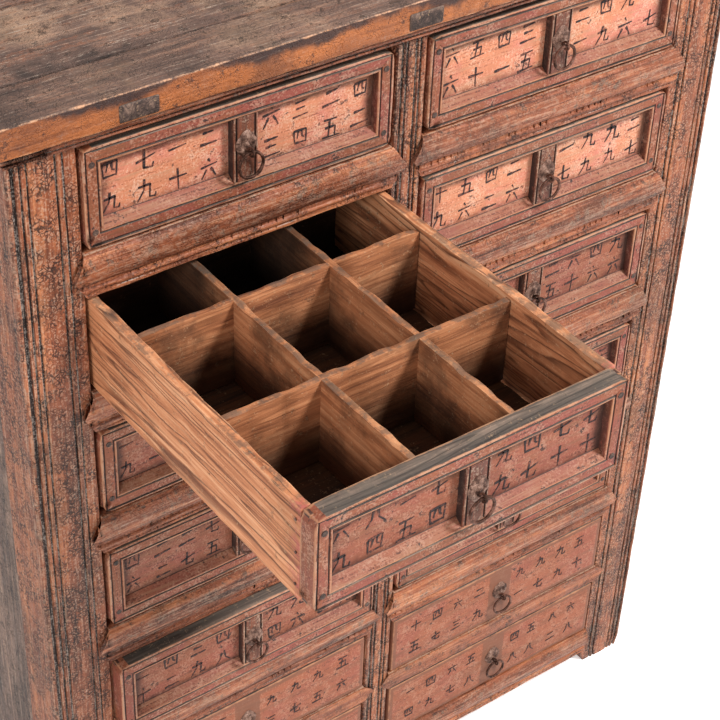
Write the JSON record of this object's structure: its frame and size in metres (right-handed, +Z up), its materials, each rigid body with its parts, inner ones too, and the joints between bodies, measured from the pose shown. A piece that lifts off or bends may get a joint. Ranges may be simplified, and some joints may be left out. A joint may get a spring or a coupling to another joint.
{
  "type": "apothecary cabinet",
  "caption": "Free-standing wooden apothecary chest: two columns of sliding drawers with divided insides and iron ring pulls, in a post-and-rail frame under a framed top",
  "frame": {"origin": "on the floor under the middle of the whole outline, open drawer included", "axes": "+X right as seen from the front, +Y towards the back, +Z up"},
  "size_m": [0.864, 0.8422, 1.088],
  "materials": {
    "top_wood": "worn dark varnish, dusty grey with rubbed brown patches",
    "frame_wood": "old red-brown lacquer, crackled and rubbed",
    "side_wood": "weathered brown lacquer with open grain",
    "front_paint": "matt coral-red paint, worn to the wood at the edges",
    "raw_wood": "bare softwood, darkened by age",
    "iron": "rusty dark wrought iron"
  },
  "bodies": {
    "cabinet": {"post_front_left": "frame_wood", "post_front_right": "frame_wood", "post_back_left": "frame_wood", "post_back_right": "frame_wood", "centre_stile": "frame_wood", "side_bottom_rail_left": "frame_wood", "side_panel_left": "side_wood", "side_bottom_rail_right": "frame_wood", "side_panel_right": "side_wood", "back_panel": "raw_wood", "rail_under_row_1": "frame_wood", "rail_under_row_2": "frame_wood", "rail_under_row_3": "frame_wood", "rail_under_row_4": "frame_wood", "rail_under_row_5": "frame_wood", "rail_under_row_6": "frame_wood", "rail_bottom": "frame_wood", "cornice_board": "frame_wood", "top_front_member": "top_wood", "top_back_member": "top_wood", "top_left_member": "top_wood", "top_right_member": "top_wood", "top_panel_with_battens": "top_wood"},
    "drawer_left_1": {"drawer_left_1": "front_paint"},
    "ring_left_1": {"ring_left_1": "iron"},
    "drawer_right_1": {"drawer_right_1": "front_paint"},
    "ring_right_1": {"ring_right_1": "iron"},
    "drawer_left_2": {"drawer_left_2_front": "front_paint", "drawer_left_2_left_side": "raw_wood", "drawer_left_2_right_side": "raw_wood", "drawer_left_2_back": "raw_wood", "drawer_left_2_bottom": "raw_wood", "drawer_left_2_long_divider_1": "raw_wood", "drawer_left_2_long_divider_2": "raw_wood", "drawer_left_2_cross_divider_1": "raw_wood", "drawer_left_2_cross_divider_2": "raw_wood"},
    "ring_left_2": {"ring_left_2": "iron"},
    "drawer_right_2": {"drawer_right_2": "front_paint"},
    "ring_right_2": {"ring_right_2": "iron"},
    "drawer_left_3": {"drawer_left_3": "front_paint"},
    "ring_left_3": {"ring_left_3": "iron"},
    "drawer_right_3": {"drawer_right_3": "front_paint"},
    "ring_right_3": {"ring_right_3": "iron"},
    "drawer_left_4": {"drawer_left_4": "front_paint"},
    "ring_left_4": {"ring_left_4": "iron"},
    "drawer_right_4": {"drawer_right_4": "front_paint"},
    "ring_right_4": {"ring_right_4": "iron"},
    "drawer_left_5": {"drawer_left_5": "front_paint"},
    "ring_left_5": {"ring_left_5": "iron"},
    "drawer_right_5": {"drawer_right_5": "front_paint"},
    "ring_right_5": {"ring_right_5": "iron"},
    "drawer_left_6": {"drawer_left_6": "front_paint"},
    "ring_left_6": {"ring_left_6": "iron"},
    "drawer_right_6": {"drawer_right_6": "front_paint"},
    "ring_right_6": {"ring_right_6": "iron"},
    "drawer_left_7": {"drawer_left_7": "front_paint"},
    "ring_left_7": {"ring_left_7": "iron"},
    "drawer_right_7": {"drawer_right_7": "front_paint"},
    "ring_right_7": {"ring_right_7": "iron"}
  },
  "joints": [
    {"name": "drawer_left_1_slide", "type": "slide", "parent": "cabinet", "child": "drawer_left_1", "axis": [0, -1, 0], "range_m": [0, 0.366]},
    {"name": "ring_left_1_swing", "type": "hinge", "parent": "drawer_left_1", "child": "ring_left_1", "pos_m": [-0.18525, -0.06988, 0.9845], "axis": [-1, 0, 0], "range_deg": [-10, 165]},
    {"name": "drawer_right_1_slide", "type": "slide", "parent": "cabinet", "child": "drawer_right_1", "axis": [0, -1, 0], "range_m": [0, 0.366]},
    {"name": "ring_right_1_swing", "type": "hinge", "parent": "drawer_right_1", "child": "ring_right_1", "pos_m": [0.18525, -0.06988, 0.9845], "axis": [-1, 0, 0], "range_deg": [-10, 165]},
    {"name": "drawer_left_2_slide", "type": "slide", "parent": "cabinet", "child": "drawer_left_2", "axis": [0, -1, 0], "range_m": [-0.346, 0.02]},
    {"name": "ring_left_2_swing", "type": "hinge", "parent": "drawer_left_2", "child": "ring_left_2", "pos_m": [-0.18525, -0.41588, 0.831], "axis": [-1, 0, 0], "range_deg": [-10, 165]},
    {"name": "drawer_right_2_slide", "type": "slide", "parent": "cabinet", "child": "drawer_right_2", "axis": [0, -1, 0], "range_m": [0, 0.366]},
    {"name": "ring_right_2_swing", "type": "hinge", "parent": "drawer_right_2", "child": "ring_right_2", "pos_m": [0.18525, -0.06988, 0.831], "axis": [-1, 0, 0], "range_deg": [-10, 165]},
    {"name": "drawer_left_3_slide", "type": "slide", "parent": "cabinet", "child": "drawer_left_3", "axis": [0, -1, 0], "range_m": [0, 0.366]},
    {"name": "ring_left_3_swing", "type": "hinge", "parent": "drawer_left_3", "child": "ring_left_3", "pos_m": [-0.18525, -0.06988, 0.6775], "axis": [-1, 0, 0], "range_deg": [-10, 165]},
    {"name": "drawer_right_3_slide", "type": "slide", "parent": "cabinet", "child": "drawer_right_3", "axis": [0, -1, 0], "range_m": [0, 0.366]},
    {"name": "ring_right_3_swing", "type": "hinge", "parent": "drawer_right_3", "child": "ring_right_3", "pos_m": [0.18525, -0.06988, 0.6775], "axis": [-1, 0, 0], "range_deg": [-10, 165]},
    {"name": "drawer_left_4_slide", "type": "slide", "parent": "cabinet", "child": "drawer_left_4", "axis": [0, -1, 0], "range_m": [0, 0.366]},
    {"name": "ring_left_4_swing", "type": "hinge", "parent": "drawer_left_4", "child": "ring_left_4", "pos_m": [-0.18525, -0.06988, 0.524], "axis": [-1, 0, 0], "range_deg": [-10, 165]},
    {"name": "drawer_right_4_slide", "type": "slide", "parent": "cabinet", "child": "drawer_right_4", "axis": [0, -1, 0], "range_m": [0, 0.366]},
    {"name": "ring_right_4_swing", "type": "hinge", "parent": "drawer_right_4", "child": "ring_right_4", "pos_m": [0.18525, -0.06988, 0.524], "axis": [-1, 0, 0], "range_deg": [-10, 165]},
    {"name": "drawer_left_5_slide", "type": "slide", "parent": "cabinet", "child": "drawer_left_5", "axis": [0, -1, 0], "range_m": [-0.012, 0.354]},
    {"name": "ring_left_5_swing", "type": "hinge", "parent": "drawer_left_5", "child": "ring_left_5", "pos_m": [-0.18525, -0.08188, 0.3705], "axis": [-1, 0, 0], "range_deg": [-10, 165]},
    {"name": "drawer_right_5_slide", "type": "slide", "parent": "cabinet", "child": "drawer_right_5", "axis": [0, -1, 0], "range_m": [0, 0.366]},
    {"name": "ring_right_5_swing", "type": "hinge", "parent": "drawer_right_5", "child": "ring_right_5", "pos_m": [0.18525, -0.06988, 0.3705], "axis": [-1, 0, 0], "range_deg": [-10, 165]},
    {"name": "drawer_left_6_slide", "type": "slide", "parent": "cabinet", "child": "drawer_left_6", "axis": [0, -1, 0], "range_m": [0, 0.366]},
    {"name": "ring_left_6_swing", "type": "hinge", "parent": "drawer_left_6", "child": "ring_left_6", "pos_m": [-0.18525, -0.06988, 0.22575], "axis": [-1, 0, 0], "range_deg": [-10, 165]},
    {"name": "drawer_right_6_slide", "type": "slide", "parent": "cabinet", "child": "drawer_right_6", "axis": [0, -1, 0], "range_m": [0, 0.366]},
    {"name": "ring_right_6_swing", "type": "hinge", "parent": "drawer_right_6", "child": "ring_right_6", "pos_m": [0.18525, -0.06988, 0.22575], "axis": [-1, 0, 0], "range_deg": [-10, 165]},
    {"name": "drawer_left_7_slide", "type": "slide", "parent": "cabinet", "child": "drawer_left_7", "axis": [0, -1, 0], "range_m": [0, 0.366]},
    {"name": "ring_left_7_swing", "type": "hinge", "parent": "drawer_left_7", "child": "ring_left_7", "pos_m": [-0.18525, -0.06988, 0.11025], "axis": [-1, 0, 0], "range_deg": [-10, 165]},
    {"name": "drawer_right_7_slide", "type": "slide", "parent": "cabinet", "child": "drawer_right_7", "axis": [0, -1, 0], "range_m": [0, 0.366]},
    {"name": "ring_right_7_swing", "type": "hinge", "parent": "drawer_right_7", "child": "ring_right_7", "pos_m": [0.18525, -0.06988, 0.11025], "axis": [-1, 0, 0], "range_deg": [-10, 165]}
  ]
}
